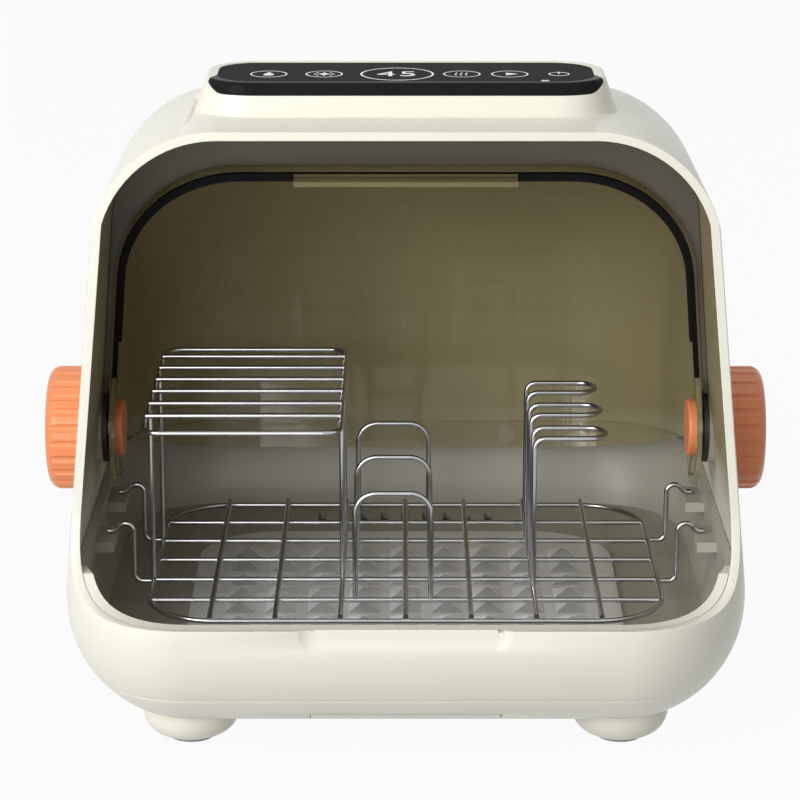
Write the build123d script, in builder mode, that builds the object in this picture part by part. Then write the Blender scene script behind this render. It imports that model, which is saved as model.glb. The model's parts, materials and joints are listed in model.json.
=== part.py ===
from build123d import *
import os
from math import cos, radians, sin, tan

# Baby bottle sterilizer with a swing-up visor. Millimetres, +Z up, the front faces -Y.
# The origin is on the table under the middle of the housing.

# Housing
body_width = 320.0
body_depth = 290.0
body_bottom = 14.0
body_top = 296.0
widest_height = 60.0
side_lean_angle = 5.5
brow_corner_radius = 60.0
back_corner_radius = 128.0
bottom_corner_radius = 68.0
side_round = 58.0
wall = 4.0
seam_height = 38.0
overrun = 20.0

# Front opening, seen from the side
rim_height = 78.0
brow_setback = 47.0
rim_sweep_radius = 44.0
scoop_length = 112.0
scoop_radius = 20.0
scoop_out = 17.2
scoop_drop = 3.0
scoop_end_share = 0.8

# Raised pad and control panel on top
pad_length = 184.0
pad_depth = 62.0
pad_height = 15.0
pad_front_setback = 88.0
pad_sink = 5.0
pad_flank_angle = 20.0
pad_corner_radius = 22.0
pad_edge_radius = 2.0
pad_hollow_inset = 6.0
panel_length = 174.0
panel_depth = 54.0
panel_thickness = 2.0
panel_recess = 0.4
panel_corner_radius = 18.0
panel_clearance = 0.2
touch_board_length = 160.0
touch_board_depth = 38.0
touch_board_thickness = 1.6

# Visor, turned about a level axis between the side knobs
pivot_height = 132.0
visor_roof_gap = 18.5
visor_back_gap = 3.5
visor_side_gap = 0.5
visor_round = 60.0
visor_wall = 2.5
visor_front_angle = 75.0
visor_span = 126.0
handle_length = 104.0
handle_sweep = 3.4
handle_lip = 2.5
gasket_thickness = 1.4
gasket_sweep = 1.2
gasket_clearance = 0.05
hub_radius = 28.0

# Ceiling liner behind the visor, with a flange up to the housing at its front
ceiling_gap = 1.5
ceiling_wall = 2.0
ceiling_front_angle = 78.0
ceiling_span = 114.0
ceiling_flange_sweep = 1.2

# Pivots
shaft_radius = 7.0
shaft_clearance = 0.05
bush_radius = 11.0
bush_flange_radius = 17.0
bush_end_gap = 0.3
inner_cap_radius = 14.0
inner_cap_thickness = 4.0
inner_cap_edge = 1.5
knob_radius = 30.0
knob_thickness = 17.0
knob_edge = 6.0
knob_gap = 0.3
boss_radius = 27.0
boss_proud = 0.4
knob_flutes = 24
flute_radius = 2.6
flute_depth = 1.1
shaft_seat_depth = 8.0

# Chamber liner and its floor
liner_gap = 0.3
liner_wall = 4.0
liner_bottom = 46.0
liner_top = 93.0
ledge_length = 26.0
ledge_width = 9.0
ledge_thickness = 5.0
ledge_top = 86.0
ledge_spacing = 62.0
vent_count = 9
vent_width = 4.0
vent_length = 20.0
vent_pitch = 11.0
vent_back_setback = 34.0
plate_side_margin = 18.0
plate_end_margin = 2.0
plate_thickness = 1.5
plate_corner_radius = 40.0
pyramid_side = 15.0
pyramid_pitch = 20.0
pyramid_height = 3.0
pyramid_taper = 64.0
lamp_radius = 5.0
lamp_depth = 3.0
lamp_spacing = 110.0
lamp_height = 87.5

# Wire racks
wire_radius = 1.3
weld_depth = 0.4
rack_side_room = 26.7
rack_end_room = 57.0
rack_corner_radius = 34.0
rack_height = 62.0
rack_columns = 7
rack_rows = 5
handle_wire_rise = 16.0
handle_wire_step = 8.0
handle_wire_bend = 4.0
handle_end_gap = 5.0
ledge_rest_gap = 0.3
arch_width = 36.0
arch_height = 52.0
arch_bend = 10.0
arch_row_count = 2
arch_middle_x = -6.0
hoop_height = 74.0
hoop_reach = 34.0
hoop_width = 18.0
hoop_bend = 5.0
hoop_tip = 8.8
hoop_pitch = 40.0
hoop_count = 3
hoop_column_count = 5

# Upper shelf on the left
shelf_end_margin = 13.0
shelf_height = 150.0
shelf_corner_radius = 8.0
shelf_span_columns = 3
shelf_leg_offset = 1.0
shelf_bars = 6
shelf_leg_gap = 0.3

# Feet
foot_side_inset = 58.0
foot_end_inset = 71.0
foot_radius = 23.0
foot_round = 12.0
foot_seat_clearance = 0.05
foot_pad_radius = 11.0
foot_pad_thickness = 2.0

# Drawer, inlet and vents in the base
drawer_width = 88.0
drawer_height = 9.0
drawer_back_gap = 7.0
drawer_wall = 2.0
drawer_front_setback = 56.0
drawer_clearance = 0.4
filter_thickness = 3.0
filter_clearance = 0.3
inlet_x = 74.0
inlet_width = 25.0
inlet_height = 14.0
inlet_bottom = 21.0
inlet_setback = 50.0
inlet_clearance = 0.1
socket_width = 17.0
socket_height = 8.0
socket_depth = 14.0
socket_pin_radius = 1.2
socket_pin_length = 9.0
socket_pin_spacing = 8.6
bottom_slot_count = 7
bottom_slot_width = 3.0
bottom_slot_length = 34.0
bottom_slot_pitch = 8.0

# Blower, heater and board in the base
blower_x = -30.0
blower_heater_spacing = 43.0
blower_radius = 34.0
blower_height = 20.0
blower_wall = 2.0
blower_eye_radius = 18.0
blower_spokes = 3
spindle_boss_radius = 7.0
spindle_radius = 2.5
spindle_clearance = 0.05
rotor_radius = 28.0
rotor_height = 14.0
rotor_gap = 0.6
rotor_blades = 18
blade_thickness = 1.4
blade_length = 9.0
hub_ring = 10.0
heater_x = -30.0
heater_back_room = 88.0
heater_length = 60.0
heater_depth = 14.0
heater_height = 18.0
heater_fins = 9
heater_fin_gap = 3.0
heater_gap_depth = 9.0
board_x = 48.0
board_back_room = 125.0
board_length = 70.0
board_depth = 84.0
board_thickness = 1.6
board_post_radius = 3.0
board_post_height = 6.0
board_post_inset = 6.0
capacitor_radius = 6.0
capacitor_height = 12.0
transformer_side = 20.0
transformer_height = 14.0

# Places worked out from the sizes above
half_width = body_width / 2
half_depth = body_depth / 2
side_lean = radians(side_lean_angle)


def half_width_at(height, inset):
    """Half the width of the housing, whose sides lean in as they rise, drawn in by an inset."""
    return half_width - inset / cos(side_lean) - (height - widest_height) * tan(side_lean)


inner_bottom = body_bottom + wall
liner_inset = wall + liner_gap
liner_inner = half_width_at(ledge_top, liner_inset + liner_wall)
floor_top = liner_bottom + liner_wall
shaft_hole = shaft_radius + shaft_clearance
ceiling_offset = ceiling_gap + ceiling_wall
visor_half_width = half_width_at(pivot_height, wall + ceiling_offset) - visor_side_gap
visor_radius = body_top - pivot_height - wall - ceiling_offset - visor_roof_gap
pivot_y = half_depth - wall - ceiling_offset - visor_back_gap - visor_radius
pivot_point = (0, pivot_y, pivot_height)
boss_outer = half_width_at(pivot_height - boss_radius, 0) + boss_proud
boss_inner = half_width_at(pivot_height + bush_flange_radius, wall) - boss_proud
rack_length = 2 * (liner_inner - rack_side_room)
rack_depth = body_depth - 2 * rack_end_room
shelf_depth = rack_depth - 2 * shelf_end_margin
plate_length = rack_length - 2 * plate_side_margin
plate_depth = rack_depth - 2 * plate_end_margin
heater_y = half_depth - heater_back_room
blower_y = heater_y - blower_heater_spacing
board_y = half_depth - board_back_room
foot_x = half_width - foot_side_inset
foot_y = half_depth - foot_end_inset
pad_top = body_top + pad_height
pad_middle = (0, -half_depth + pad_front_setback + pad_depth / 2)
pad_spread = (pad_height + pad_sink) * tan(radians(pad_flank_angle))
panel_top = pad_top - panel_recess
touch_board_bottom = panel_top - panel_thickness - touch_board_thickness
cut_y = -half_depth + brow_setback
sides = {"left": -1, "right": 1}

os.makedirs("parts", exist_ok=True)


def rounded_block(inset):
    """The housing's outer form, drawn in by an inset on every side."""
    low = body_bottom + inset
    high = body_top - inset
    low_half = half_width_at(low, inset)
    high_half = half_width_at(high, inset)
    with BuildPart() as block:
        with BuildSketch(Plane.YZ.offset(-body_width)) as profile:
            with Locations((0, (high + low) / 2)):
                Rectangle(body_depth - 2 * inset, high - low)
            corners = profile.vertices().sort_by(Axis.Y)
            fillet(corners[:2], bottom_corner_radius - inset)
            fillet(corners[2:].sort_by(Axis.X)[0], brow_corner_radius - inset)
            back_corner = profile.vertices().sort_by_distance((body_depth, body_top))[0]
            fillet(back_corner, back_corner_radius - inset)
        extrude(amount=2 * body_width)
        with BuildSketch(Plane.XZ.offset(-body_depth)):
            with BuildLine():
                Polyline(
                    (-low_half, low),
                    (low_half, low),
                    (high_half, high),
                    (-high_half, high),
                    close=True,
                )
            make_face()
        extrude(amount=2 * body_depth, mode=Mode.INTERSECT)
        block_sides = block.faces().sort_by(Axis.X)
        fillet(block_sides[0].edges() + block_sides[-1].edges(), side_round - inset)
    return block.part


def front_cut(height):
    """The space in front of the opening's edge, above the rim, seen from the side."""
    with BuildPart() as cut:
        with BuildSketch(Plane.YZ.offset(-half_width - overrun)) as outline:
            with BuildLine():
                Polyline(
                    (-half_depth - overrun, height),
                    (cut_y, height),
                    (cut_y, body_top + overrun),
                    (-half_depth - overrun, body_top + overrun),
                    close=True,
                )
            make_face()
            fillet(outline.vertices().sort_by_distance((cut_y, height))[0], rim_sweep_radius)
        extrude(amount=body_width + 2 * overrun)
    return cut.part


def slab(low, high):
    """A level slice of space between two heights, wider than the housing."""
    with BuildPart() as piece:
        with BuildSketch(Plane.XY.offset(low)):
            Rectangle(body_width + 2 * overrun, body_depth + 2 * overrun)
        extrude(amount=high - low)
    return piece.part


def bent_wire(points, bend_radius):
    """A round wire along straight runs with one bend radius."""
    with BuildPart() as wire:
        with BuildLine() as path:
            if len(points) > 2:
                FilletPolyline(*points, radius=bend_radius)
            else:
                Line(*points)
        with BuildSketch(Plane(origin=path.line @ 0, z_dir=path.line % 0)):
            Circle(wire_radius)
        sweep()
    return wire.part


def write_part(builder, name):
    """Label a finished piece and write it."""
    builder.part.label = name
    export_step(builder.part, f"parts/{name}.step")


def side_plane(side, distance):
    """A plane square to the pivot axis, facing outwards at one side."""
    return Plane(origin=(side * distance, pivot_y, pivot_height), x_dir=(0, side, 0), z_dir=(side, 0, 0))


def axle_plane(side):
    """A plane along the pivot axis, measured outwards to one side."""
    return Plane(origin=pivot_point, x_dir=(side, 0, 0), z_dir=(0, -1, 0))


def scoop():
    """The rounded finger scoop in the front rim."""
    with BuildPart() as shape:
        with BuildSketch(Plane.YZ.offset(-scoop_length / 2)):
            with Locations((-half_depth - scoop_out, rim_height - scoop_drop)):
                Circle(scoop_radius)
        extrude(amount=scoop_length)
        fillet(shape.edges().filter_by(GeomType.CIRCLE), scoop_radius * scoop_end_share)
    return shape.part


outer_block = rounded_block(0)
inner_block = rounded_block(wall)
liner_block = rounded_block(liner_inset)
chamber_block = rounded_block(liner_inset + liner_wall)
opening_cut = front_cut(rim_height)

with BuildPart() as housing:
    add(outer_block)
    with BuildSketch(Plane.XY.offset(body_top - pad_sink)):
        with Locations(pad_middle):
            RectangleRounded(
                pad_length + 2 * pad_spread,
                pad_depth + 2 * pad_spread,
                pad_corner_radius + pad_spread,
            )
    extrude(amount=pad_height + pad_sink, taper=pad_flank_angle)
    fillet(housing.faces().sort_by(Axis.Z)[-1].edges(), pad_edge_radius)
    with BuildSketch(Plane.YZ.offset(-boss_outer)):
        with Locations((pivot_y, pivot_height)):
            Circle(boss_radius)
    extrude(amount=2 * boss_outer)
    add(inner_block, mode=Mode.SUBTRACT)
    with BuildSketch(Plane.XY.offset(touch_board_bottom - wall)):
        with Locations(pad_middle):
            RectangleRounded(
                pad_length - 2 * pad_hollow_inset,
                pad_depth - 2 * pad_hollow_inset,
                pad_corner_radius - pad_hollow_inset,
            )
    extrude(amount=-pad_height, mode=Mode.SUBTRACT)
    add(slab(body_bottom - overrun, seam_height), mode=Mode.SUBTRACT)
    add(opening_cut, mode=Mode.SUBTRACT)
    add(scoop(), mode=Mode.SUBTRACT)
    with BuildSketch(Plane.XY.offset(pad_top)):
        with Locations(pad_middle):
            RectangleRounded(
                panel_length + 2 * panel_clearance,
                panel_depth + 2 * panel_clearance,
                panel_corner_radius + panel_clearance,
            )
    extrude(amount=-panel_recess - panel_thickness, mode=Mode.SUBTRACT)
    with BuildSketch(Plane.XY.offset(panel_top - panel_thickness)):
        with Locations(pad_middle):
            Rectangle(touch_board_length + 2 * panel_clearance, touch_board_depth + 2 * panel_clearance)
    extrude(amount=-touch_board_thickness, mode=Mode.SUBTRACT)
    for side in sides.values():
        with BuildSketch(side_plane(side, boss_inner)):
            Circle(bush_flange_radius)
        extrude(amount=wall)
    with BuildSketch(Plane.YZ.offset(-boss_outer)):
        with Locations((pivot_y, pivot_height)):
            Circle(bush_radius)
    extrude(amount=2 * boss_outer, mode=Mode.SUBTRACT)
write_part(housing, "housing")

with BuildPart() as control_panel:
    with BuildSketch(Plane.XY.offset(panel_top - panel_thickness)):
        with Locations(pad_middle):
            RectangleRounded(panel_length, panel_depth, panel_corner_radius)
    extrude(amount=panel_thickness)
write_part(control_panel, "control_panel")

with BuildPart() as touch_board:
    with BuildSketch(Plane.XY.offset(touch_board_bottom)):
        with Locations(pad_middle):
            Rectangle(touch_board_length, touch_board_depth)
    extrude(amount=touch_board_thickness)
write_part(touch_board, "touch_board")

# Base pan with the drawer's mouth, the power inlet's hole and the air slots
drawer_back = blower_y - blower_radius - drawer_back_gap
drawer_bottom = inner_bottom
tray_front = -half_depth + drawer_front_setback
inlet_inner = half_depth - inlet_setback


def drawer_box(clearance):
    """The drawer's space, open to the front of the housing."""
    with BuildPart() as box:
        with BuildSketch(Plane.XY.offset(drawer_bottom)):
            with Locations((0, (drawer_back + clearance - half_depth) / 2)):
                Rectangle(drawer_width + 2 * clearance, drawer_back + clearance + half_depth)
        extrude(amount=drawer_height + clearance)
    return box.part


def inlet_box(clearance):
    """The power inlet's space, open to the back of the housing."""
    with BuildPart() as box:
        with BuildSketch(Plane.XY.offset(inlet_bottom - clearance)):
            with Locations((inlet_x, (inlet_inner - clearance + half_depth) / 2)):
                Rectangle(inlet_width + 2 * clearance, half_depth - inlet_inner + clearance)
        extrude(amount=inlet_height + 2 * clearance)
    return box.part


with BuildPart() as base_pan:
    add(outer_block)
    add(slab(body_bottom - overrun, seam_height), mode=Mode.INTERSECT)
    add(inner_block, mode=Mode.SUBTRACT)
    add(drawer_box(drawer_clearance), mode=Mode.SUBTRACT)
    add(inlet_box(inlet_clearance), mode=Mode.SUBTRACT)
    with BuildSketch(Plane.XY.offset(body_bottom - overrun)):
        with Locations((blower_x, blower_y)):
            with GridLocations(bottom_slot_pitch, 0, bottom_slot_count, 1):
                SlotOverall(bottom_slot_length, bottom_slot_width, rotation=90)
    extrude(amount=wall + 2 * overrun, mode=Mode.SUBTRACT)
write_part(base_pan, "base_pan")

with BuildPart() as drawer:
    add(outer_block)
    add(drawer_box(0), mode=Mode.INTERSECT)
    with BuildSketch(Plane.XY.offset(drawer_bottom + drawer_wall)) as hollow:
        with BuildLine():
            Polyline(
                (-drawer_width / 2 + drawer_wall, drawer_back - drawer_wall),
                (drawer_width / 2 - drawer_wall, drawer_back - drawer_wall),
                (drawer_width / 2 - drawer_wall, tray_front),
                (-drawer_width / 2 + drawer_wall, tray_front),
                close=True,
            )
        make_face()
    extrude(amount=drawer_height, mode=Mode.SUBTRACT)
write_part(drawer, "filter_drawer")

filter_length = drawer_width - 2 * drawer_wall - 2 * filter_clearance
filter_depth = drawer_back - drawer_wall - tray_front - 2 * filter_clearance
with BuildPart() as air_filter:
    with BuildSketch(Plane.XY.offset(drawer_bottom + drawer_wall)):
        with Locations((0, (drawer_back - drawer_wall + tray_front) / 2)):
            Rectangle(filter_length, filter_depth)
    extrude(amount=filter_thickness)
write_part(air_filter, "air_filter")

with BuildPart() as power_inlet:
    add(outer_block)
    add(inlet_box(0), mode=Mode.INTERSECT)
    socket_middle = inlet_bottom + inlet_height / 2
    with BuildSketch(Plane.XZ.offset(-inlet_inner - inlet_setback)):
        with Locations((inlet_x, socket_middle)):
            SlotOverall(socket_width, socket_height)
    extrude(amount=inlet_setback - socket_depth, mode=Mode.SUBTRACT)
    with BuildSketch(Plane.XZ.offset(-inlet_inner - socket_depth)):
        with Locations((inlet_x, socket_middle)):
            with GridLocations(socket_pin_spacing, 0, 2, 1):
                Circle(socket_pin_radius)
    extrude(amount=-socket_pin_length)
write_part(power_inlet, "power_inlet")

# Feet under the four corners, shaped to the underside they sit against
foot_block = rounded_block(-foot_seat_clearance)
foot_places = {
    "front_left": (-foot_x, -foot_y),
    "front_right": (foot_x, -foot_y),
    "rear_left": (-foot_x, foot_y),
    "rear_right": (foot_x, foot_y),
}
for corner, place in foot_places.items():
    with BuildPart() as foot:
        with BuildSketch(Plane.XY.offset(foot_pad_thickness)):
            with Locations(place):
                Circle(foot_radius)
        extrude(amount=seam_height - foot_pad_thickness)
        fillet(foot.edges().group_by(Axis.Z)[0], foot_round)
        add(foot_block, mode=Mode.SUBTRACT)
    write_part(foot, f"foot_{corner}")

with BuildPart() as foot_pads:
    with BuildSketch(Plane.XY):
        with Locations(*foot_places.values()):
            Circle(foot_pad_radius)
    extrude(amount=foot_pad_thickness)
write_part(foot_pads, "foot_pads")

# Chamber liner: an open tub with two ledges a side and air slots along the back of its floor
with BuildPart() as chamber_void:
    add(chamber_block)
    add(slab(floor_top, body_top), mode=Mode.INTERSECT)

with BuildPart() as liner:
    add(liner_block)
    add(slab(liner_bottom, liner_top), mode=Mode.INTERSECT)
    add(chamber_void.part, mode=Mode.SUBTRACT)
    add(opening_cut, mode=Mode.SUBTRACT)
    with BuildSketch(Plane.XY.offset(ledge_top)):
        with GridLocations(2 * liner_inner + liner_wall - ledge_width, ledge_spacing, 2, 2):
            Rectangle(ledge_width + liner_wall, ledge_length)
    extrude(amount=-ledge_thickness)
    with BuildSketch(Plane.XY.offset(liner_bottom - overrun)):
        with Locations((0, half_depth - liner_inset - liner_wall - vent_back_setback)):
            with GridLocations(vent_pitch, 0, vent_count, 1):
                SlotOverall(vent_length, vent_width, rotation=90)
    extrude(amount=liner_wall + 2 * overrun, mode=Mode.SUBTRACT)
write_part(liner, "chamber_liner")

# Reflector plate with rows of low pyramids
plate_middle_y = -vent_length / 2
pyramid_columns = int(plate_length / pyramid_pitch) - 1
pyramid_rows = int(plate_depth / pyramid_pitch) - 2
with BuildPart() as reflector:
    with BuildSketch(Plane.XY.offset(floor_top)):
        with Locations((0, plate_middle_y)):
            RectangleRounded(plate_length, plate_depth, plate_corner_radius)
    extrude(amount=plate_thickness)
    with BuildSketch(Plane.XY.offset(floor_top + plate_thickness)):
        with Locations((0, plate_middle_y)):
            with GridLocations(pyramid_pitch, pyramid_pitch, pyramid_columns, pyramid_rows):
                Rectangle(pyramid_side, pyramid_side)
    extrude(amount=pyramid_height, taper=pyramid_taper)
write_part(reflector, "reflector_plate")

# Ultraviolet lamps behind round windows in the liner's back wall
lamp_face = half_depth - liner_inset - liner_wall
with BuildPart() as lamps:
    with BuildSketch(Plane.XZ.offset(-lamp_face)):
        with Locations((0, lamp_height)):
            with GridLocations(lamp_spacing, 0, 2, 1):
                Circle(lamp_radius)
    extrude(amount=lamp_depth)
write_part(lamps, "uv_lamps")

# Visor: a drum section swung about the pivot axis, with a hub disc at each end


def radial_plane(angle):
    """A plane through the pivot axis, leaning up from the front by an angle."""
    lean = radians(angle)
    return Plane(origin=pivot_point, x_dir=(1, 0, 0), z_dir=(0, -sin(lean), -cos(lean)))


visor_plane = radial_plane(visor_front_angle)
swing_back = Axis(pivot_point, (-1, 0, 0))
swing_forward = Axis(pivot_point, (1, 0, 0))


def drum_half_width(radius, inset):
    """Half the width of the visor's drum, whose ends lean as the housing's sides do."""
    return visor_half_width - inset / cos(side_lean) - radius * tan(side_lean)


def drum_section(inset):
    """Half of the visor's lengthwise section, from the shaft hole out to its skin."""
    low = drum_half_width(shaft_hole, inset)
    height = visor_radius - inset
    high = drum_half_width(height, inset)
    with BuildSketch(Plane.XY) as section:
        with BuildLine():
            Polyline((-low, shaft_hole), (low, shaft_hole), (high, height), (-high, height), close=True)
        make_face()
        fillet(section.vertices().group_by(Axis.Y)[-1], visor_round - inset)
    return section.sketch_local


with BuildPart() as visor:
    with BuildSketch(visor_plane):
        add(drum_section(0))
        add(drum_section(visor_wall), mode=Mode.SUBTRACT)
    revolve(axis=swing_back, revolution_arc=visor_span)
    with BuildSketch(visor_plane):
        add(drum_section(0))
        add(drum_section(visor_wall), mode=Mode.SUBTRACT)
        Rectangle(body_width, 2 * hub_radius, mode=Mode.INTERSECT)
    revolve(axis=swing_back)
    with BuildSketch(visor_plane):
        with Locations((0, visor_radius - handle_lip / 2)):
            Rectangle(handle_length, handle_lip)
    revolve(axis=swing_forward, revolution_arc=handle_sweep)
write_part(visor, "visor")

ceiling_plane = radial_plane(ceiling_front_angle)
with BuildPart() as flange:
    with BuildSketch(ceiling_plane):
        with Locations((0, body_top / 2 + bush_flange_radius)):
            Rectangle(body_width, body_top)
        add(drum_section(-ceiling_gap), mode=Mode.SUBTRACT)
    revolve(axis=swing_back, revolution_arc=ceiling_flange_sweep)
    add(liner_block, mode=Mode.INTERSECT)

with BuildPart() as ceiling:
    with BuildSketch(ceiling_plane):
        add(drum_section(-ceiling_offset))
        add(drum_section(-ceiling_gap), mode=Mode.SUBTRACT)
    revolve(axis=swing_back, revolution_arc=ceiling_span)
    add(flange.part)
    with BuildSketch(Plane.YZ.offset(-half_width)):
        with Locations((pivot_y, pivot_height)):
            Circle(bush_flange_radius + ceiling_gap)
    extrude(amount=body_width, mode=Mode.SUBTRACT)
write_part(ceiling, "ceiling_liner")

gasket_outer = visor_wall + gasket_clearance
with BuildPart() as gasket:
    with BuildSketch(visor_plane):
        add(drum_section(gasket_outer))
        add(drum_section(gasket_outer + gasket_thickness), mode=Mode.SUBTRACT)
        with Locations((0, 0)):
            Rectangle(2 * visor_half_width, 2 * (hub_radius + overrun), mode=Mode.SUBTRACT)
    revolve(axis=swing_back, revolution_arc=gasket_sweep)
write_part(gasket, "visor_gasket")

# Pivot at each side: inner cap, shaft, flanged bush in the housing wall and ribbed knob outside
cap_seat = drum_half_width(shaft_hole, visor_wall)
cap_rim = drum_half_width(inner_cap_radius, visor_wall)
cap_face = cap_rim - inner_cap_thickness
knob_inner = boss_outer + knob_gap
bush_flange = boss_inner - drum_half_width(shaft_hole, 0) - bush_end_gap
for name, side in sides.items():
    with BuildPart() as inner_cap:
        with BuildSketch(axle_plane(side)):
            with BuildLine():
                Polyline(
                    (cap_seat, 0),
                    (cap_seat, shaft_hole),
                    (cap_rim, inner_cap_radius),
                    (cap_face, inner_cap_radius),
                    (cap_face, 0),
                    close=True,
                )
            make_face()
        revolve(axis=swing_forward)
        fillet(inner_cap.edges().sort_by(Axis.X)[-1 if side < 0 else 0], inner_cap_edge)
    write_part(inner_cap, f"inner_cap_{name}")

    with BuildPart() as shaft:
        with BuildSketch(side_plane(side, cap_seat)):
            Circle(shaft_radius)
        extrude(amount=knob_inner + shaft_seat_depth - cap_seat)
    write_part(shaft, f"pivot_shaft_{name}")

    with BuildPart() as bush:
        with BuildSketch(side_plane(side, boss_inner)):
            Circle(bush_flange_radius)
        extrude(amount=-bush_flange)
        with BuildSketch(side_plane(side, boss_inner)):
            Circle(bush_radius - shaft_clearance)
        extrude(amount=boss_outer - boss_inner)
        with BuildSketch(side_plane(side, boss_inner - bush_flange)):
            Circle(shaft_hole)
        extrude(amount=boss_outer - boss_inner + bush_flange, mode=Mode.SUBTRACT)
    write_part(bush, f"pivot_bush_{name}")

    with BuildPart() as knob:
        with BuildSketch(side_plane(side, knob_inner)):
            Circle(knob_radius)
            with PolarLocations(knob_radius + flute_radius - flute_depth, knob_flutes):
                Circle(flute_radius, mode=Mode.SUBTRACT)
        extrude(amount=knob_thickness)
        with BuildSketch(axle_plane(side)):
            with BuildLine():
                outer_face = knob_inner + knob_thickness
                edge_start = (outer_face, knob_radius - knob_edge)
                edge_end = (outer_face - knob_edge, knob_radius)
                Line((knob_inner, 0), (outer_face, 0))
                Line((outer_face, 0), edge_start)
                RadiusArc(edge_start, edge_end, -knob_edge)
                Line(edge_end, (knob_inner, knob_radius))
                Line((knob_inner, knob_radius), (knob_inner, 0))
            make_face()
        revolve(axis=swing_forward, mode=Mode.INTERSECT)
        with BuildSketch(side_plane(side, knob_inner)):
            Circle(shaft_hole)
        extrude(amount=shaft_seat_depth, mode=Mode.SUBTRACT)
    write_part(knob, f"knob_{name}")

# Wire rack: a rounded frame with cross wires welded on top of it
rack_column_step = rack_length / (rack_columns + 1)
rack_row_step = rack_depth / (rack_rows + 1)
cross_height = rack_height + 2 * wire_radius - weld_depth
column_places = [-rack_length / 2 + rack_column_step * (i + 1) for i in range(rack_columns)]
row_places = [-rack_depth / 2 + rack_row_step * (i + 1) for i in range(rack_rows)]


def reach_of(place, half_span, half_cross):
    """How far a cross wire runs before it meets the rounded frame."""
    past = max(abs(place) - (half_span - rack_corner_radius), 0)
    return half_cross - rack_corner_radius + (rack_corner_radius**2 - past**2) ** 0.5


with BuildPart() as rack:
    with BuildLine() as frame_line:
        with BuildLine(Plane.XY.offset(rack_height)):
            FilletPolyline(
                (-rack_length / 2, -rack_depth / 2),
                (rack_length / 2, -rack_depth / 2),
                (rack_length / 2, rack_depth / 2),
                (-rack_length / 2, rack_depth / 2),
                radius=rack_corner_radius,
                close=True,
            )
    with BuildSketch(Plane(origin=frame_line.line @ 0, z_dir=frame_line.line % 0)):
        Circle(wire_radius)
    sweep(path=frame_line.line)
    for x in column_places:
        reach = reach_of(x, rack_length / 2, rack_depth / 2)
        add(bent_wire([(x, -reach, cross_height), (x, reach, cross_height)], 0))
    for y in row_places:
        reach = reach_of(y, rack_depth / 2, rack_length / 2)
        add(bent_wire([(-reach, y, rack_height), (reach, y, rack_height)], 0))
write_part(rack, "rack_grid")

# Carrying handles at the ends of the rack, resting on the liner's ledges
rest_height = ledge_top + ledge_rest_gap + wire_radius
frame_outside = rack_length / 2 + wire_radius
handle_top = rest_height + handle_wire_rise
for name, side in sides.items():
    with BuildPart() as rack_handle:
        for y in (-ledge_spacing / 2, ledge_spacing / 2):
            points = [
                (side * frame_outside, y, rack_height),
                (side * (frame_outside + handle_wire_step), y, rack_height),
                (side * (frame_outside + handle_wire_step), y, handle_top),
                (side * (liner_inner - ledge_width), y, rest_height),
                (side * (liner_inner - handle_end_gap), y, rest_height),
            ]
            add(bent_wire(points, handle_wire_bend))
    write_part(rack_handle, f"rack_handle_{name}")

# Bottle arches in the middle of the rack and folded hoops on its right
post_foot = cross_height + wire_radius
hoop_x = column_places[hoop_column_count]
with BuildPart() as arches:
    arch_foot = rack_height + wire_radius
    for y in row_places[::arch_row_count]:
        low = arch_middle_x - arch_width / 2
        high = arch_middle_x + arch_width / 2
        points = [
            (low, y, arch_foot),
            (low, y, arch_foot + arch_height),
            (high, y, arch_foot + arch_height),
            (high, y, arch_foot),
        ]
        add(bent_wire(points, arch_bend))
write_part(arches, "bottle_arches")

with BuildPart() as hoops:
    for i in range(hoop_count):
        middle = hoop_pitch * (i - (hoop_count - 1) / 2)
        near = middle - hoop_width / 2
        far = middle + hoop_width / 2
        top = post_foot + hoop_height
        points = [
            (hoop_x, near, post_foot),
            (hoop_x, near, top),
            (hoop_x + hoop_reach, near, top),
            (hoop_x + hoop_reach, far, top),
            (hoop_x, far, top),
            (hoop_x, far, post_foot),
        ]
        add(bent_wire(points, [hoop_bend, hoop_tip, hoop_tip, hoop_bend]))
write_part(hoops, "bottle_hoops")

# Upper shelf: a wire frame with bars across it, on four straight legs
shelf_left = -rack_length / 2
shelf_right = column_places[shelf_span_columns - 1]
shelf_bar_step = shelf_depth / (shelf_bars + 1)
with BuildPart() as shelf:
    with BuildLine() as shelf_line:
        with BuildLine(Plane.XY.offset(shelf_height)):
            FilletPolyline(
                (shelf_left, -shelf_depth / 2),
                (shelf_right, -shelf_depth / 2),
                (shelf_right, shelf_depth / 2),
                (shelf_left, shelf_depth / 2),
                radius=shelf_corner_radius,
                close=True,
            )
    with BuildSketch(Plane(origin=shelf_line.line @ 0, z_dir=shelf_line.line % 0)):
        Circle(wire_radius)
    sweep(path=shelf_line.line)
    for i in range(shelf_bars):
        y = -shelf_depth / 2 + shelf_bar_step * (i + 1)
        bar_height = shelf_height + 2 * wire_radius - weld_depth
        add(bent_wire([(shelf_left, y, bar_height), (shelf_right, y, bar_height)], 0))
write_part(shelf, "shelf_grid")

shelf_leg_y = ledge_spacing / 2 - shelf_leg_offset
leg_top = shelf_height - wire_radius
leg_feet = {shelf_left: rack_height + wire_radius, shelf_right: cross_height + wire_radius}
with BuildPart() as shelf_legs:
    for x, foot_height in leg_feet.items():
        for y in (-shelf_leg_y, shelf_leg_y):
            add(bent_wire([(x, y, foot_height + shelf_leg_gap), (x, y, leg_top)], 0))
write_part(shelf_legs, "shelf_legs")

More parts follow.
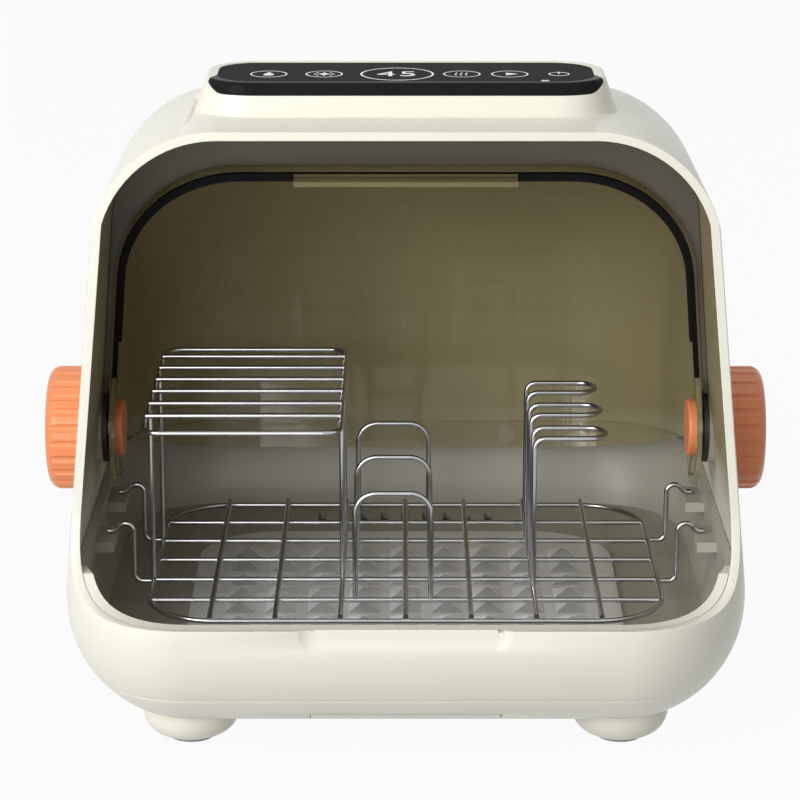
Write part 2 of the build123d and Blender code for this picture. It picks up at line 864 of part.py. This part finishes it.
# Blower under the chamber: a round case, its spindle and a bladed rotor
blower_plane = Plane(origin=(blower_x, blower_y, inner_bottom))
with BuildPart() as blower_case:
    with BuildSketch(blower_plane):
        Circle(blower_radius)
        Circle(blower_eye_radius, mode=Mode.SUBTRACT)
        Circle(spindle_boss_radius)
        with PolarLocations(0, blower_spokes):
            with Locations((blower_eye_radius / 2, 0)):
                Rectangle(blower_eye_radius + blower_wall, blower_wall)
    extrude(amount=blower_wall)
    with BuildSketch(blower_plane.offset(blower_wall)):
        Circle(blower_radius)
        Circle(blower_radius - blower_wall, mode=Mode.SUBTRACT)
        Circle(spindle_radius)
    extrude(amount=blower_height - blower_wall)
write_part(blower_case, "blower_case")

with BuildPart() as rotor:
    with BuildSketch(blower_plane.offset(blower_wall + rotor_gap)):
        Circle(rotor_radius)
        Circle(spindle_radius + spindle_clearance, mode=Mode.SUBTRACT)
    extrude(amount=blade_thickness)
    with BuildSketch(blower_plane.offset(blower_wall + rotor_gap)):
        Circle(hub_ring)
        Circle(spindle_radius + spindle_clearance, mode=Mode.SUBTRACT)
        with PolarLocations(rotor_radius - blade_length / 2, rotor_blades):
            Rectangle(blade_length, blade_thickness)
    extrude(amount=rotor_height)
write_part(rotor, "blower_rotor")

# Heater block with fin gaps and the control board on its posts
with BuildPart() as heater:
    with BuildSketch(Plane.XY.offset(inner_bottom)):
        with Locations((heater_x, heater_y)):
            Rectangle(heater_length, heater_depth)
    extrude(amount=heater_height)
    with BuildSketch(Plane.XY.offset(inner_bottom + heater_height)):
        with Locations((heater_x, heater_y)):
            with GridLocations(heater_length / (heater_fins + 1), 0, heater_fins, 1):
                Rectangle(heater_fin_gap, heater_depth + overrun)
    extrude(amount=-heater_gap_depth, mode=Mode.SUBTRACT)
write_part(heater, "heater_block")

board_plane = Plane(origin=(board_x, board_y, inner_bottom + board_post_height))
with BuildPart() as board_posts:
    with BuildSketch(board_plane):
        post_spread_x = board_length - 2 * board_post_inset
        post_spread_y = board_depth - 2 * board_post_inset
        with GridLocations(post_spread_x, post_spread_y, 2, 2):
            Circle(board_post_radius)
    extrude(amount=-board_post_height)
write_part(board_posts, "board_posts")

with BuildPart() as main_board:
    with BuildSketch(board_plane):
        Rectangle(board_length, board_depth)
    extrude(amount=board_thickness)
    with BuildSketch(board_plane.offset(board_thickness)):
        with Locations((-board_length / 2 + transformer_side, board_depth / 2 - transformer_side)):
            Rectangle(transformer_side, transformer_side)
    extrude(amount=transformer_height)
    with BuildSketch(board_plane.offset(board_thickness)):
        with Locations((board_length / 2 - transformer_side, -board_depth / 2 + transformer_side)):
            Circle(capacitor_radius)
    extrude(amount=capacitor_height)
write_part(main_board, "main_board")
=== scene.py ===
import json
import math
import bpy
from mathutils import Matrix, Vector


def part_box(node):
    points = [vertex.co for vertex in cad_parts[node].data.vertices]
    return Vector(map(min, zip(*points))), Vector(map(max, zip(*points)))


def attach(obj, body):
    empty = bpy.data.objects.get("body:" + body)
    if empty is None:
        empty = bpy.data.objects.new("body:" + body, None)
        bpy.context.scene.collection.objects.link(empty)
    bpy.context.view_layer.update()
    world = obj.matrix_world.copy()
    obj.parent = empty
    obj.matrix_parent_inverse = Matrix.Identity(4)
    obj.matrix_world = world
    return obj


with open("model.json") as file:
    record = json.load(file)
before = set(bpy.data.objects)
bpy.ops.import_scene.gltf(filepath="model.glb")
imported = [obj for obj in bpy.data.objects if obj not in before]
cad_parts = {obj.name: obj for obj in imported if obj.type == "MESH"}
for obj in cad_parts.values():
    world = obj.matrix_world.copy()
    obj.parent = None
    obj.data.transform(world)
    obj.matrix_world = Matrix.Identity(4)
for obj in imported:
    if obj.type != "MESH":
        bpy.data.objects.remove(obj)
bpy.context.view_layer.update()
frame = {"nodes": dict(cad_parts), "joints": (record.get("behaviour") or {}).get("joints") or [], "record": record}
nodes = frame["nodes"]
MM = 0.001


# Shader kit: a socket that does maths, and a material that adds nodes
class Sock:
    """One output socket. An expression on it adds the Math nodes it needs."""

    def __init__(self, kit, socket):
        self.kit = kit
        self.socket = socket

    def maths(self, operation, *values):
        node = self.kit.add("ShaderNodeMath", {"operation": operation}, dict(enumerate(values)))
        return Sock(self.kit, node.outputs[0])

    def __add__(self, other):
        return self.maths("ADD", self, other)

    def __sub__(self, other):
        return self.maths("SUBTRACT", self, other)

    def __rsub__(self, other):
        return self.maths("SUBTRACT", other, self)

    def __mul__(self, other):
        return self.maths("MULTIPLY", self, other)

    def over(self, level):
        return self.maths("GREATER_THAN", self, level)

    def under(self, level):
        return self.maths("LESS_THAN", self, level)

    def size(self):
        return self.maths("ABSOLUTE", self)

    def most(self, level):
        return self.maths("MINIMUM", self, level)

    def least(self, level):
        return self.maths("MAXIMUM", self, level)

    def fraction(self):
        return self.maths("FRACT", self)

    def ramp(self, start, end):
        """0 before start, 1 past end, even in between."""
        return ((self - start) * (1.0 / (end - start))).least(0.0).most(1.0)


class NodeKit:
    """The nodes of a material or a world, all added by one method."""

    def __init__(self, owner):
        owner.use_nodes = True
        self.tree = owner.node_tree
        self.tree.nodes.clear()

    def add(self, kind, settings=None, inputs=None):
        node = self.tree.nodes.new(kind)
        for key, value in (settings or {}).items():
            setattr(node, key, value)
        for key, value in (inputs or {}).items():
            self.put(node.inputs[key], value)
        return node

    def put(self, socket, value):
        if isinstance(value, Sock):
            self.tree.links.new(value.socket, socket)
        else:
            socket.default_value = value

    def background_rays(self):
        """1 for rays from the lens, and for those by way of metal or glass: they see white."""
        rays = self.add("ShaderNodeLightPath").outputs
        direct = Sock(self, rays["Is Camera Ray"])
        mirrored = Sock(self, rays["Is Glossy Ray"])
        passed = Sock(self, rays["Is Transmission Ray"])
        return (direct + mirrored + passed).most(1.0)


class Finish(NodeKit):
    """A node material built around one Principled shader."""

    input_names = {
        "colour": "Base Color",
        "roughness": "Roughness",
        "metallic": "Metallic",
        "coat": "Coat Weight",
        "coat_roughness": "Coat Roughness",
        "alpha": "Alpha",
        "normal": "Normal",
        "specular": "Specular IOR Level",
        "glow": "Emission Color",
        "glow_strength": "Emission Strength",
    }

    def __init__(self, name):
        self.material = bpy.data.materials.new(name)
        super().__init__(self.material)
        self.shader = self.add("ShaderNodeBsdfPrincipled")
        surface = {"Surface": Sock(self, self.shader.outputs[0])}
        self.output = self.add("ShaderNodeOutputMaterial", inputs=surface)

    def place(self):
        return Sock(self, self.add("ShaderNodeTexCoord").outputs["Object"])

    def axes(self):
        """The three Object coordinates, in metres."""
        split = self.add("ShaderNodeSeparateXYZ", inputs={0: self.place()})
        return [Sock(self, output) for output in split.outputs]

    def noise(self, scale, detail=3.0, roughness=0.55, stretch=(1, 1, 1)):
        where = self.add("ShaderNodeMapping", inputs={"Vector": self.place(), "Scale": stretch})
        inputs = {
            "Vector": Sock(self, where.outputs[0]),
            "Scale": scale,
            "Detail": detail,
            "Roughness": roughness,
        }
        return Sock(self, self.add("ShaderNodeTexNoise", inputs=inputs).outputs[0])

    def cloud(self):
        """Slow change of tone over a moulding."""
        return self.noise(14.0, detail=4.0)

    def grain(self):
        """The fine grain of a mould's face."""
        return self.noise(1400.0, detail=2.0)

    def smear(self):
        """Patches of uneven gloss."""
        return self.noise(42.0, detail=5.0, roughness=0.6)

    def mix(self, factor, first, second):
        """The first colour where factor is 0, the second where it is 1."""
        first, second = (tone if isinstance(tone, Sock) else (*tone, 1.0) for tone in (first, second))
        inputs = {"Factor": factor, 6: first, 7: second}
        return Sock(self, self.add("ShaderNodeMix", {"data_type": "RGBA"}, inputs).outputs[2])

    def bump(self, height, strength, distance):
        inputs = {"Height": height, "Strength": strength, "Distance": distance}
        return Sock(self, self.add("ShaderNodeBump", inputs=inputs).outputs[0])

    def fill(self, shader, inputs):
        """Set a Principled shader's inputs by their plain names."""
        for key, value in inputs.items():
            if key in ("colour", "glow") and isinstance(value, tuple):
                value = (*value, 1.0)
            self.put(shader.inputs[self.input_names[key]], value)

    def shade(self, **inputs):
        self.fill(self.shader, inputs)
        return self.material

    def over_paint(self, factor, **inputs):
        """A second Principled shader, laid over the first where factor is 1."""
        paint = self.add("ShaderNodeBsdfPrincipled")
        self.fill(paint, inputs)
        return self.mix_shaders(factor, paint)

    def mix_shaders(self, factor, second):
        shaders = {0: factor, 1: Sock(self, self.shader.outputs[0]), 2: Sock(self, second.outputs[0])}
        mixed = self.add("ShaderNodeMixShader", inputs=shaders)
        self.put(self.output.inputs["Surface"], Sock(self, mixed.outputs[0]))
        return self.material


# Places on the solids that the paint follows
hinge = next(joint for joint in frame["joints"] if joint["name"] == "visor_hinge")
pivot = Vector(hinge["pos_m"])
visor_edge = math.radians(75.0)
seal_width = 2.2 * MM
seal_slack = 0.2 * MM
side_lean = math.radians(5.5)
lean_foot = 60.0 * MM
inner_half_width = 157.8 * MM
shoulder_x = 84.6 * MM
shoulder_z = 238.0 * MM
shoulder_radius = 56.2 * MM
# Bounds of the dark olive painted shade on the housing's inner walls around the visor
painted_shade_front = -96.5 * MM
painted_shade_back = 17.0 * MM
painted_shade_low = 108.0 * MM
painted_shade_full = 135.0 * MM
painted_shade_top = 293.5 * MM
pad_high = 311.0 * MM
pad_front = -57.0 * MM
pad_corner = 22.0 * MM
border_drop = 5.6 * MM
border_half_length = 87.2 * MM
border_taper = 0.4
border_corner = 84.0 * MM
border_corner_curve = 80.0
rim_low = 75.5 * MM
rim_high = 77.5 * MM
rim_back = -98.0 * MM
ceiling_slope = math.radians(12.0)
ceiling_face = -25.2 * MM
pyramid_pitch = 20.0 * MM
pyramid_half = 7.5 * MM
pyramid_rows_half_width = 90.0 * MM
pyramid_rows_half_depth = 60.0 * MM
pyramid_rows_middle = -10.0 * MM

# Tones and mould values that more than one finish has
panel_light = (0.016, 0.016, 0.016)
panel_dark = (0.010, 0.010, 0.010)
cream_light = (0.800, 0.785, 0.680)
cream_dark = (0.770, 0.752, 0.645)
cream_mould = {"rough": 0.34, "grain": 0.05, "coat": 0.10}
mould_grain_depth = 0.04 * MM
metal_grain_depth = 0.05 * MM


def mould(finish, colour, rough, grain, coat=0.0):
    """Satin moulded plastic: spark-eroded grain and gloss that varies around rough."""
    fine = finish.grain()
    smear_share = 0.12
    grain_share = 0.05
    even = rough - (smear_share + grain_share) / 2
    return finish.shade(
        colour=colour,
        roughness=finish.smear() * smear_share + fine * grain_share + even,
        normal=finish.bump(fine, strength=grain, distance=mould_grain_depth),
        coat=coat,
        coat_roughness=0.12,
    )


def moulded_plastic(name, light, dark, rough, grain, coat=0.0):
    """Moulded plastic of one colour, faintly cloudy."""
    finish = Finish(name)
    return mould(finish, finish.mix(finish.cloud(), dark, light), rough, grain, coat)


def painted_shade_walls(reach, depth, height):
    """1 on the housing's inner walls around the visor, where dark olive painted shade goes, fading towards the
    tub.
    """
    lean = (height - lean_foot) * math.tan(side_lean)
    inside_wall = (reach + lean).under(inner_half_width)
    past_x = (reach - shoulder_x).least(0.0)
    past_z = (height - shoulder_z).least(0.0)
    in_round = (past_x * past_x + past_z * past_z).under(shoulder_radius * shoulder_radius)
    inside_shoulder = in_round.least(height.under(shoulder_z))
    in_depth = depth.over(painted_shade_front) * depth.under(painted_shade_back)
    in_height = height.ramp(painted_shade_low, painted_shade_full) * height.under(painted_shade_top)
    return inside_wall * inside_shoulder * in_depth * in_height


def panel_border(reach, depth, height):
    """1 on the upper front of the pad, up to its rounded corners."""
    corner = (reach - border_corner).least(0.0)
    above = (height - corner * corner * border_corner_curve).over(pad_high - border_drop)
    round_end = pad_front + pad_corner
    between_ends = (reach + (depth - round_end) * border_taper).under(border_half_length)
    return above * between_ends * depth.under(round_end)


def shell_plastic(name):
    """The housing's cream plastic, with dark olive painted shade inside around the visor, black before the panel.
    """
    finish = Finish(name)
    across, depth, height = finish.axes()
    reach = across.size()
    cream = finish.mix(finish.cloud(), cream_dark, cream_light)
    painted_shade_share = painted_shade_walls(reach, depth, height) * 0.92
    # Painted shade: the cream inner walls around the visor are darkened to a dim olive, tinted like the visor
    mould(finish, finish.mix(painted_shade_share, cream, (0.270, 0.216, 0.105)), **cream_mould)
    smear = finish.smear()
    return finish.over_paint(
        panel_border(reach, depth, height),
        colour=finish.mix(smear, panel_dark, panel_light),
        roughness=smear * 0.1 + 0.2,
        specular=0.02,
    )


def liner_plastic(name):
    """Greyer plastic in the chamber, partly its own tone and partly painted shade inside the tub, with a cream
    edge where it meets the housing's rim.
    """
    finish = Finish(name)
    cloud = finish.cloud()
    fine = finish.grain()
    _, depth, height = finish.axes()
    edge = height.ramp(rim_low, rim_high) * depth.under(rim_back)
    # Grey-beige: the liner's own greyer tone, darkened further as painted shade inside the chamber
    shaded_grey = finish.mix(cloud, (0.415, 0.404, 0.340), (0.440, 0.430, 0.362))
    return finish.shade(
        colour=finish.mix(edge, shaded_grey, cream_dark),
        roughness=cloud * 0.12 + fine * 0.05 + 0.33,
        normal=finish.bump(fine, strength=0.05, distance=mould_grain_depth),
    )


def painted_shade_ceiling(name):
    """Plastic behind the visor, painted a dim olive as shade behind the tint, with darker painted shade on the
    face that looks out of the opening.
    """
    finish = Finish(name)
    cloud = finish.cloud()
    _, depth, height = finish.axes()
    ahead = depth * -math.cos(ceiling_slope) + height * -math.sin(ceiling_slope)
    # A dim olive painted shade for the ceiling in shadow behind the tinted visor
    olive = finish.mix(cloud, (0.470, 0.418, 0.270), (0.520, 0.465, 0.306))
    return finish.shade(
        # Painted shade: near black on the face that looks out of the opening
        colour=finish.mix(ahead.over(ceiling_face), olive, (0.092, 0.081, 0.056)),
        roughness=cloud * 0.12 + 0.34,
        normal=finish.bump(finish.grain(), strength=0.04, distance=mould_grain_depth),
    )


def tinted_visor(name):
    """Clear tinted plastic with faint flow lines and finger haze, black where the seal sits."""
    finish = Finish(name)
    flow = finish.noise(9.0, detail=3.0, roughness=0.5, stretch=(1.0, 2.6, 2.6))
    haze = finish.noise(55.0, detail=5.0, roughness=0.65)
    _, depth, height = finish.axes()
    ahead = (depth - pivot.y) * -math.sin(visor_edge) + (height - pivot.z) * -math.cos(visor_edge)
    finish.shade(
        colour=finish.mix(flow, (0.318, 0.274, 0.134), (0.400, 0.344, 0.175)),
        roughness=haze * 0.05 + 0.035,
        alpha=flow * 0.06 + 0.42,
        normal=finish.bump(flow, strength=0.05, distance=0.6 * MM),
        coat=0.12,
        coat_roughness=0.06,
        specular=0.35,
    )
    return finish.over_paint(
        ahead.over(-seal_width) * ahead.under(seal_slack),
        colour=(0.006, 0.006, 0.006),
        roughness=haze * 0.1 + 0.5,
        specular=0.06,
    )


def bright_wire(name):
    """Polished plated wire with a drawn grain."""
    finish = Finish(name)
    drawn = finish.noise(260.0, detail=3.0, roughness=0.6)
    cloud = finish.noise(30.0, detail=3.0)
    return finish.shade(
        colour=finish.mix(cloud, (0.36, 0.36, 0.37), (0.58, 0.58, 0.59)),
        metallic=1.0,
        roughness=drawn * 0.10 + 0.14,
        normal=finish.bump(drawn, strength=0.12, distance=metal_grain_depth),
    )


def embossed_plate(name):
    """Bright rolled sheet with a soft lengthwise grain, painted shade on its pyramids' front faces and lighter
    painted shade on the flat lanes between them.
    """
    finish = Finish(name)
    rolled = finish.noise(90.0, detail=3.0, roughness=0.6, stretch=(0.25, 6.0, 1.0))
    spots = finish.noise(24.0, detail=4.0)
    across, depth, _ = finish.axes()
    half_pitch = pyramid_pitch / 2
    beside = ((across * (1.0 / pyramid_pitch) + 0.5).fraction() * pyramid_pitch - half_pitch).size()
    behind = (depth * (1.0 / pyramid_pitch) + 0.5).fraction() * pyramid_pitch - half_pitch
    in_width = across.size().under(pyramid_rows_half_width)
    in_rows = in_width * (depth - pyramid_rows_middle).size().under(pyramid_rows_half_depth)
    painted_shade_front_faces = behind.under(0.0) * behind.size().over(beside) * behind.over(-pyramid_half) * in_rows
    off_pyramid = beside.over(pyramid_half).least(behind.size().over(pyramid_half))
    sheet = finish.mix(spots, (0.90, 0.90, 0.91), (0.95, 0.95, 0.96))
    # Painted shade: the flat sheet between and around the pyramids is a little darker than their side faces
    shaded_lanes = finish.mix(off_pyramid.least(1.0 - in_rows), sheet, (0.84, 0.84, 0.85))
    return finish.shade(
        # Painted shade: the pyramids' front faces, turned from the light, are darkened
        colour=finish.mix(painted_shade_front_faces * 0.9, shaded_lanes, (0.40, 0.40, 0.40)),
        metallic=0.10,
        roughness=rolled * 0.18 + 0.24,
        normal=finish.bump(rolled, strength=0.10, distance=0.06 * MM),
    )


def gloss_panel(name):
    """Black glass with a trace of dust and smears in its gloss."""
    finish = Finish(name)
    smear = finish.noise(70.0, detail=5.0, roughness=0.65)
    speck = finish.noise(900.0, detail=2.0)
    return finish.shade(
        colour=finish.mix(smear, panel_dark, panel_light),
        roughness=smear * 0.10 + speck * 0.03 + 0.16,
        specular=0.001,
    )


def soft_rubber(name, light, dark, specular=0.4):
    """Matt rubber with a dusty grain."""
    finish = Finish(name)
    dust = finish.noise(240.0, detail=5.0, roughness=0.7)
    fine = finish.noise(1700.0, detail=2.0)
    return finish.shade(
        colour=finish.mix(dust, dark, light),
        roughness=dust * 0.15 + 0.62,
        normal=finish.bump(fine, strength=0.25, distance=0.05 * MM),
        specular=specular,
    )


def turned_metal(name, light, dark, rough):
    """Machined or extruded metal with fine lines along it."""
    finish = Finish(name)
    lines = finish.noise(120.0, detail=3.0, roughness=0.6, stretch=(0.3, 8.0, 8.0))
    return finish.shade(
        colour=finish.mix(lines, dark, light),
        metallic=1.0,
        roughness=lines * 0.16 + rough,
        normal=finish.bump(lines, strength=0.12, distance=metal_grain_depth),
    )


def lacquered_board(name):
    """Green circuit board lacquer with faint copper tracks below it."""
    finish = Finish(name)
    track = finish.noise(130.0, detail=1.0, roughness=0.3, stretch=(1.0, 4.0, 1.0)).over(0.52)
    return finish.shade(
        colour=finish.mix(track, (0.012, 0.085, 0.035), (0.030, 0.150, 0.060)),
        roughness=track * 0.12 + 0.34,
        coat=0.3,
        coat_roughness=0.15,
    )


def fibre_pad(name):
    """White pressed fibre."""
    finish = Finish(name)
    felt = finish.noise(520.0, detail=5.0, roughness=0.75)
    return finish.shade(
        colour=finish.mix(felt, (0.66, 0.66, 0.64), (0.86, 0.86, 0.84)),
        roughness=felt * 0.1 + 0.85,
        normal=finish.bump(felt, strength=0.6, distance=0.3 * MM),
    )


def lamp_glass(name):
    """Frosted lamp window with a faint violet cast."""
    finish = Finish(name)
    frost = finish.noise(320.0, detail=3.0)
    return finish.shade(
        colour=finish.mix(frost, (0.55, 0.55, 0.66), (0.74, 0.74, 0.84)),
        roughness=frost * 0.15 + 0.2,
        coat=0.3,
        coat_roughness=0.08,
    )


def white_print(name):
    """Screen-printed white ink, slightly uneven, with a faint glow from behind."""
    finish = Finish(name)
    ink = finish.noise(650.0, detail=4.0, roughness=0.6)
    return finish.shade(
        colour=finish.mix(ink, (0.74, 0.74, 0.74), (0.88, 0.88, 0.88)),
        roughness=ink * 0.15 + 0.42,
        glow=finish.mix(ink, (0.55, 0.57, 0.60), (0.66, 0.68, 0.70)),
        glow_strength=0.25,
    )


def paper_floor(name):
    """Seamless paper that keeps a soft shadow and shows white to the lens, metal and glass."""
    finish = Finish(name)
    fibre = finish.noise(35.0, detail=4.0)
    shaded_grey = finish.mix(fibre, (0.46, 0.46, 0.46), (0.50, 0.50, 0.50))
    finish.shade(colour=shaded_grey, roughness=fibre * 0.1 + 0.8)
    white = finish.add("ShaderNodeEmission", inputs={"Color": (1, 1, 1, 1), "Strength": 1.0})
    white_share = finish.background_rays() * 0.94
    return finish.mix_shaders(white_share, white)


black_light = (0.030, 0.030, 0.031)
black_dark = (0.018, 0.018, 0.019)
orange_light = (0.760, 0.250, 0.095)
orange_dark = (0.700, 0.215, 0.078)
seal_light = (0.010, 0.010, 0.011)
seal_dark = (0.005, 0.005, 0.006)
finishes = {
    "cream_shell": moulded_plastic("cream_shell", cream_light, cream_dark, **cream_mould),
    "liner_grey": liner_plastic("liner_grey"),
    "orange_knob": moulded_plastic("orange_knob", orange_light, orange_dark, rough=0.36, grain=0.08),
    "bush_black": moulded_plastic("bush_black", black_light, black_dark, rough=0.45, grain=0.10),
    "visor_tint": tinted_visor("visor_tint"),
    "gasket_black": soft_rubber("gasket_black", seal_light, seal_dark, specular=0.08),
    "rubber_pad": soft_rubber("rubber_pad", (0.36, 0.36, 0.33), (0.28, 0.28, 0.26)),
    "wire_chrome": bright_wire("wire_chrome"),
    "reflector": embossed_plate("reflector"),
    "panel_black": gloss_panel("panel_black"),
    "steel_pin": turned_metal("steel_pin", (0.62, 0.62, 0.63), (0.45, 0.45, 0.46), rough=0.22),
    "heater_alloy": turned_metal("heater_alloy", (0.66, 0.66, 0.66), (0.52, 0.52, 0.52), rough=0.30),
    "circuit_board": lacquered_board("circuit_board"),
    "filter_pad": fibre_pad("filter_pad"),
    "lamp_window": lamp_glass("lamp_window"),
}
for row in frame["record"]["subparts"]:
    piece = nodes[row["node"]]
    piece.data.materials.clear()
    piece.data.materials.append(finishes[row["material_slot"]])

nodes["ceiling_liner"].data.materials[0] = painted_shade_ceiling("painted_shade_ceiling")
nodes["housing"].data.materials[0] = shell_plastic("cream_housing")


def ease_edges(piece, width):
    """Round a moulding's cut edges, and with them the joint line between two mouldings."""
    weld = piece.modifiers.new("weld", "WELD")
    weld.merge_threshold = 0.01 * MM
    ease = piece.modifiers.new("ease", "BEVEL")
    ease.width = width
    ease.segments = 3
    ease.limit_method = "ANGLE"
    ease.angle_limit = math.radians(50.0)
    ease.use_clamp_overlap = False


ease_edges(nodes["housing"], 0.3 * MM)
ease_edges(nodes["base_pan"], 0.7 * MM)

# White marks printed on the touch panel: rings with plain signs, two digits, a power sign and a star
panel_low, panel_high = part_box("control_panel")
marks_forward = 5.0 * MM
panel_x = (panel_low[0] + panel_high[0]) / 2
panel_y = (panel_low[1] + panel_high[1]) / 2 - marks_forward
print_height = 0.12 * MM
print_level = panel_high[2] + print_height / 2
mark_pieces = []


def sign_place(x, y):
    """Clear the selection for a new sign, and give its place on the panel."""
    bpy.ops.object.select_all(action="DESELECT")
    return panel_x + x, panel_y + y, print_level


def keep_mark():
    """Turn the new sign into a plain mesh with its transform applied, and remember it."""
    if bpy.context.object.type != "MESH":
        bpy.ops.object.convert(target="MESH")
    bpy.ops.object.transform_apply(location=True, rotation=True, scale=True)
    mark_pieces.append(bpy.context.object)


def ring_mark(x, y, radius, line):
    bpy.ops.mesh.primitive_torus_add(
        location=sign_place(x, y),
        major_radius=radius,
        minor_radius=line / 2,
        major_segments=72,
        minor_segments=6,
    )
    bpy.context.object.scale.z = print_height / line
    keep_mark()


def spot_mark(x, y, radius, corners=32, turn=0.0, stretch=1.0):
    bpy.ops.mesh.primitive_cylinder_add(
        vertices=corners,
        radius=radius,
        depth=print_height,
        location=sign_place(x, y),
        rotation=(0.0, 0.0, turn),
    )
    bpy.context.object.scale.y = stretch
    keep_mark()


def bar_mark(x, y, length, line, turn):
    bpy.ops.mesh.primitive_cube_add(
        size=1.0,
        location=sign_place(x, y),
        rotation=(0.0, 0.0, turn),
        scale=(length, line, print_height),
    )
    keep_mark()


def draw_line(line, steps):
    """Give the new curve its line, flattened to the thickness of the print."""
    curve = bpy.context.object.data
    curve.resolution_u = steps
    curve.bevel_depth = line / 2
    curve.bevel_resolution = 1
    bpy.context.object.scale.z = print_height / line


def wave_mark(x, y, length, line):
    bpy.ops.curve.primitive_bezier_curve_add(
        radius=length / 2,
        location=sign_place(x, y),
        rotation=(0.0, 0.0, math.pi / 2),
    )
    draw_line(line, steps=10)
    keep_mark()


def open_ring_mark(x, y, radius, line, gap):
    """A ring with an opening at its back. The gap is the share left out on either side."""
    bpy.ops.curve.primitive_bezier_circle_add(
        radius=radius,
        location=sign_place(x, y),
        rotation=(0.0, 0.0, -math.pi / 2),
    )
    draw_line(line, steps=16)
    bpy.context.object.data.bevel_factor_start = gap
    bpy.context.object.data.bevel_factor_end = 1.0 - gap
    keep_mark()


def digit_marks(text, x, y, size):
    bpy.ops.object.text_add(location=sign_place(x, y))
    bpy.context.object.location.z -= print_height / 2
    label = bpy.context.object.data
    label.body = text
    label.size = size
    label.align_x = "CENTER"
    label.align_y = "CENTER"
    label.extrude = print_height / 2
    label.space_character = 1.1
    keep_mark()


small_ring = 8.3 * MM
large_ring = 16.6 * MM
ring_line = 0.75 * MM
sign_line = 0.6 * MM
ring_places = (-63.5 * MM, -37.8 * MM, 26.0 * MM, 48.2 * MM)
drop_x, sun_x, waves_x, start_x = ring_places
for ring_x in ring_places:
    ring_mark(ring_x, 0.0, small_ring, ring_line)

dial_x = -4.0 * MM
dial_line = ring_line * 1.3
digit_size = 18.0 * MM
ring_mark(dial_x, 0.0, large_ring, dial_line)
digit_marks("45", dial_x, 0.0, digit_size)

drop_radius = 2.5 * MM
drop_belly_y = -1.3 * MM
drop_tip_y = 1.6 * MM
spot_mark(drop_x, drop_belly_y, drop_radius)
spot_mark(drop_x, drop_tip_y, drop_radius, corners=3, stretch=1.35)

sun_radius = 2.0 * MM
ray_middle = 4.2 * MM
ray_length = 1.7 * MM
ray_count = 8
spot_mark(sun_x, 0.0, sun_radius)
for ray in range(ray_count):
    angle = ray * 2 * math.pi / ray_count
    ray_x = sun_x + ray_middle * math.cos(angle)
    bar_mark(ray_x, ray_middle * math.sin(angle), ray_length, sign_line, angle)

wave_step = 2.4 * MM
wave_length = 7.0 * MM
for lane in (-wave_step, 0.0, wave_step):
    wave_mark(waves_x + lane, 0.0, wave_length, sign_line)

start_radius = 3.6 * MM
spot_mark(start_x, 0.0, start_radius, corners=3, turn=-math.pi / 2)

power_x = 71.0 * MM
power_radius = 4.6 * MM
power_line = sign_line * 1.2
power_bar_y = power_radius * 0.72
power_bar_length = power_radius * 1.1
open_ring_mark(power_x, 0.0, power_radius, power_line, gap=0.11)
bar_mark(power_x, power_bar_y, power_bar_length, power_line, math.pi / 2)

star_x = 63.8 * MM
star_y = -18.0 * MM
star_width = 4.0 * MM
for arm in range(3):
    bar_mark(star_x, star_y, star_width, sign_line, arm * math.pi / 3)

bpy.ops.object.select_all(action="DESELECT")
for sign in mark_pieces:
    sign.select_set(True)
bpy.context.view_layer.objects.active = mark_pieces[0]
bpy.ops.object.join()
panel_marks = bpy.context.object
panel_marks.name = "panel_marks"
panel_marks.data.materials.clear()
panel_marks.data.materials.append(white_print("white_print"))
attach(panel_marks, "base")

# Floor, lights and camera
floor_size = 12.0
bpy.ops.object.select_all(action="DESELECT")
bpy.ops.mesh.primitive_plane_add(size=floor_size)
floor = bpy.context.object
floor.name = "studio_floor"
floor.data.materials.append(paper_floor("paper_floor"))


def studio_world(strength):
    """White behind the object, a dimmer even grey as its light."""
    world = bpy.data.worlds.new("studio")
    bpy.context.scene.world = world
    kit = NodeKit(world)
    share = kit.background_rays() * (1.0 - strength) + strength
    background = kit.add("ShaderNodeBackground", inputs={"Color": (1, 1, 1, 1), "Strength": share})
    kit.add("ShaderNodeOutputWorld", inputs={"Surface": Sock(kit, background.outputs[0])})


def soft_lamp(name, place, aim, size, watts):
    """A square soft box at one place, pointed at another."""
    light = bpy.data.lights.new(name, "AREA")
    light.size = size
    light.energy = watts
    lamp = bpy.data.objects.new(name, light)
    bpy.context.scene.collection.objects.link(lamp)
    lamp.location = place
    lamp.rotation_euler = (aim - Vector(place)).to_track_quat("-Z", "Y").to_euler()


object_middle = Vector((0.0, 0.0, 0.15))
studio_world(strength=0.30)
soft_lamp("key_lamp", place=(-1.2, -1.3, 1.0), aim=object_middle, size=0.9, watts=19.0)
soft_lamp("fill_lamp", place=(-0.7, -1.85, 0.5), aim=object_middle, size=1.2, watts=19.0)
soft_lamp("top_lamp", place=(0.0, 0.1, 1.7), aim=object_middle, size=1.4, watts=5.5)

# The camera looks down at the front, so that the knobs fall where the photograph has them
image_size = 800
knob_row = 427.0
knob_middle = 405.5
camera_tilt = math.radians(16.0)
lens_pixels = 2947.0
camera_distance = 1.441
sensor_width = 36.0
look = Vector((0.0, math.cos(camera_tilt), -math.sin(camera_tilt)))
up = Vector((0.0, math.sin(camera_tilt), math.cos(camera_tilt)))
right = Vector((1.0, 0.0, 0.0))
per_pixel = camera_distance / lens_pixels
middle = image_size / 2
centre = pivot + (up * (knob_row - middle) - right * (knob_middle - middle)) * per_pixel
camera_data = bpy.data.cameras.new("photo_camera")
camera_data.sensor_width = sensor_width
camera_data.lens = lens_pixels / image_size * sensor_width
camera = bpy.data.objects.new("photo_camera", camera_data)
bpy.context.scene.collection.objects.link(camera)
camera.location = centre - look * camera_distance
camera.rotation_euler = (math.pi / 2 - camera_tilt, 0.0, 0.0)
bpy.context.scene.camera = camera
bpy.context.scene.view_settings.view_transform = "Standard"
